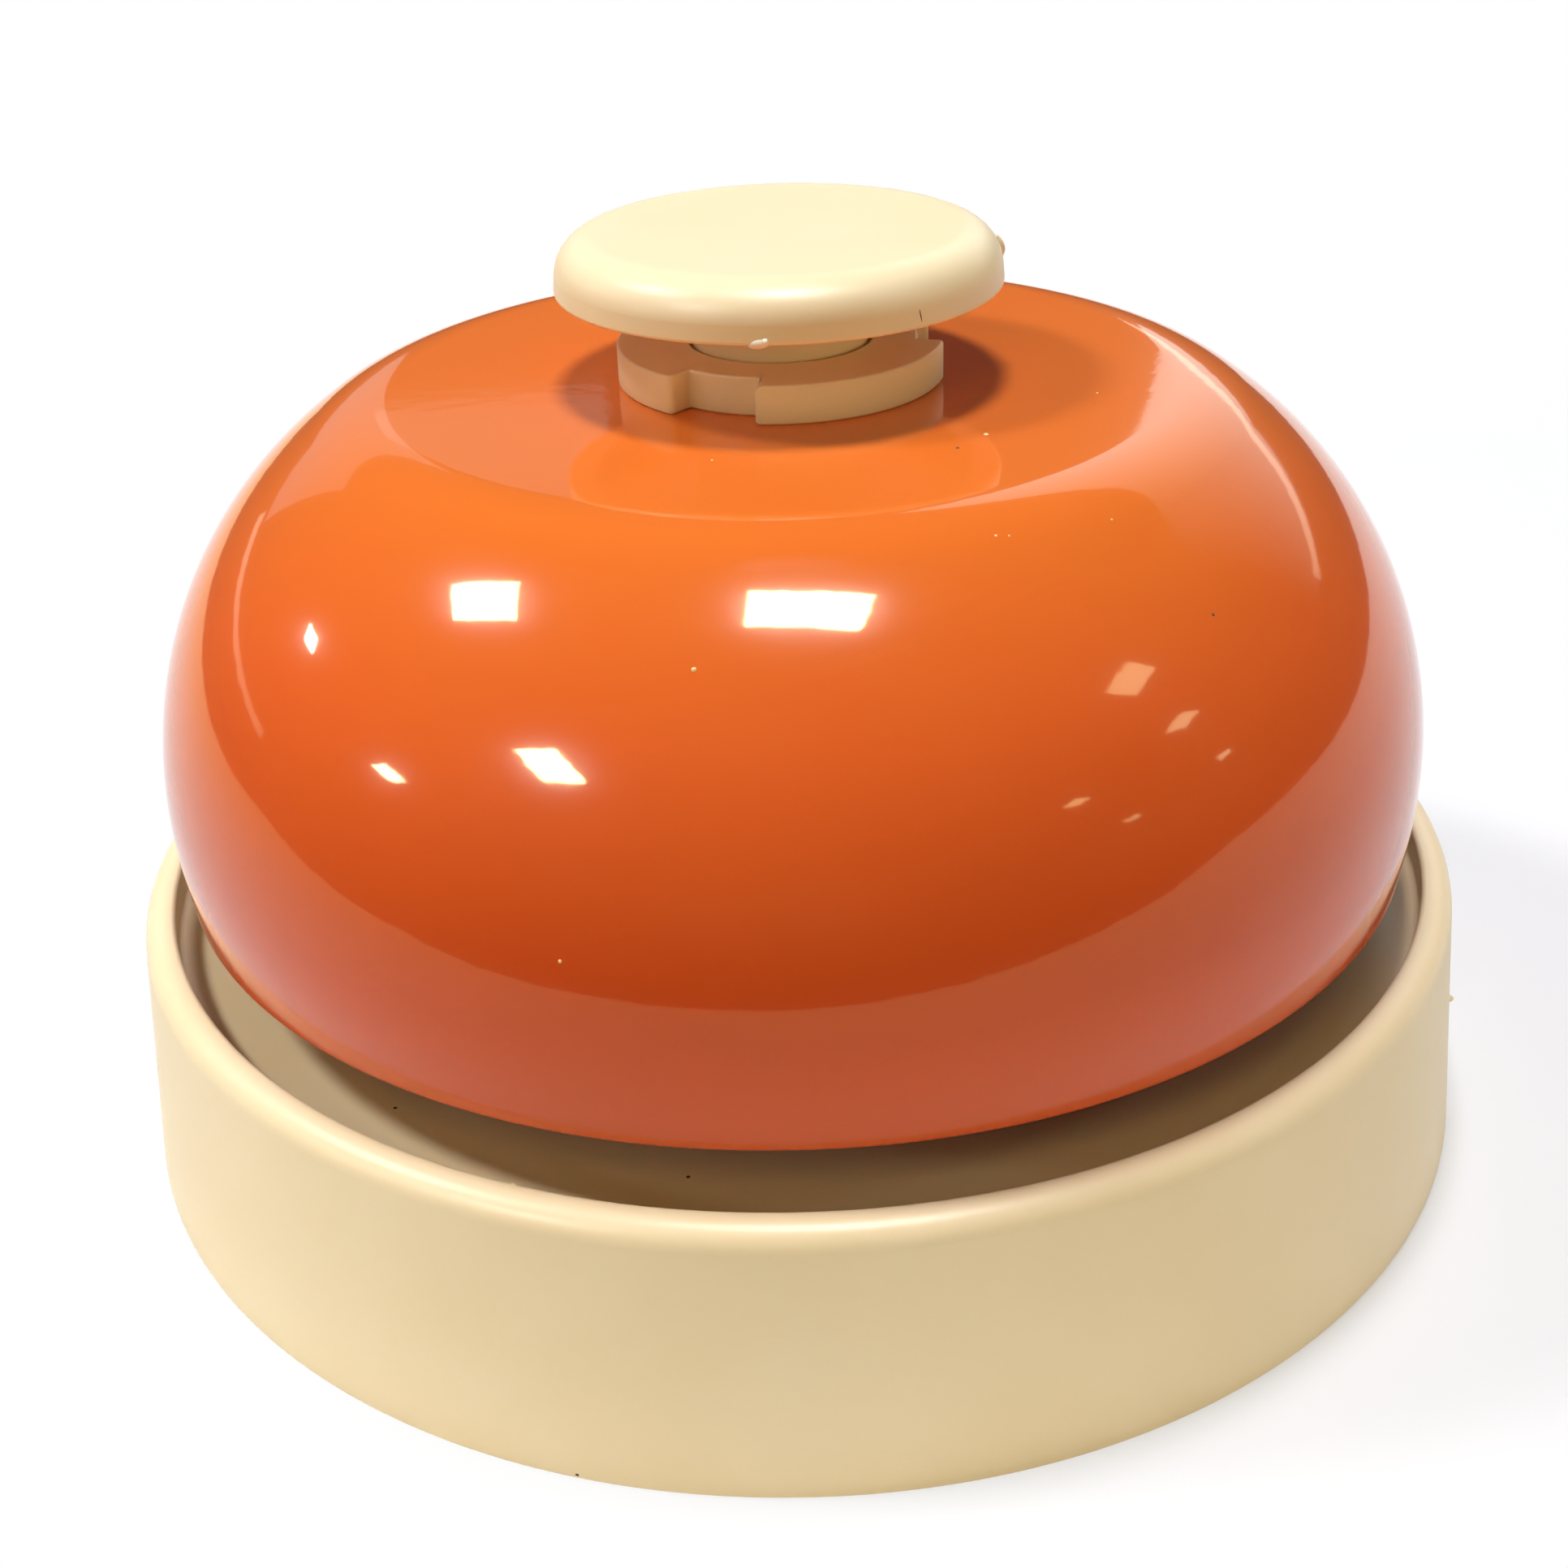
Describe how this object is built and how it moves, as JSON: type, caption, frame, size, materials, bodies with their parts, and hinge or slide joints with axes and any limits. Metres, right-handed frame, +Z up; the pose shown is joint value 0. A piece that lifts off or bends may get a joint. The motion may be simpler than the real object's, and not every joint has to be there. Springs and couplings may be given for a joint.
{
  "type": "pet training bell",
  "caption": "Press-top pet training bell: glossy orange steel dome on a round cream base, with a mushroom button that tips a hammer lever inside.",
  "frame": {"origin": "centre of the base's underside, on the surface that the bell stands on", "axes": "+Z up along the button's travel axis, front along -Y, the striker lever reaches along +Y"},
  "size_m": [0.075, 0.075, 0.0484],
  "materials": {
    "cream_abs": "satin moulded",
    "orange_enamel": "high gloss stoved enamel",
    "bright_steel": "bright turned",
    "spring_steel": "drawn wire",
    "zinc_steel": "zinc plated",
    "natural_nylon": "moulded",
    "soft_washer": "matt"
  },
  "bodies": {
    "bell_body": {"base_shell": "cream_abs", "centre_pillar": "cream_abs", "pillar_screws": "zinc_steel", "crown_washer": "soft_washer", "bell_dome": "orange_enamel", "retaining_collar": "cream_abs", "return_spring": "spring_steel", "pivot_pin": "bright_steel"},
    "button": {"button_cap": "cream_abs", "push_rod": "bright_steel", "rod_clip": "spring_steel"},
    "striker": {"striker_lever": "natural_nylon", "striker_hammer": "bright_steel"}
  },
  "joints": [
    {"name": "button_press", "type": "slide", "parent": "bell_body", "child": "button", "axis": [0, 0, -1], "range_m": [0, 0.0025], "stiffness_N_per_m": 350, "springref_m": -0.0025, "deforming": ["return_spring"]},
    {"name": "striker_swing", "type": "hinge", "parent": "bell_body", "child": "striker", "pos_m": [0, 0.0092, 0.0287], "axis": [1, 0, 0], "range_deg": [0, 17.76]}
  ],
  "couplings": [
    {"joint": "striker_swing", "follows": "button_press", "rad_per_m": 123.95}
  ]
}
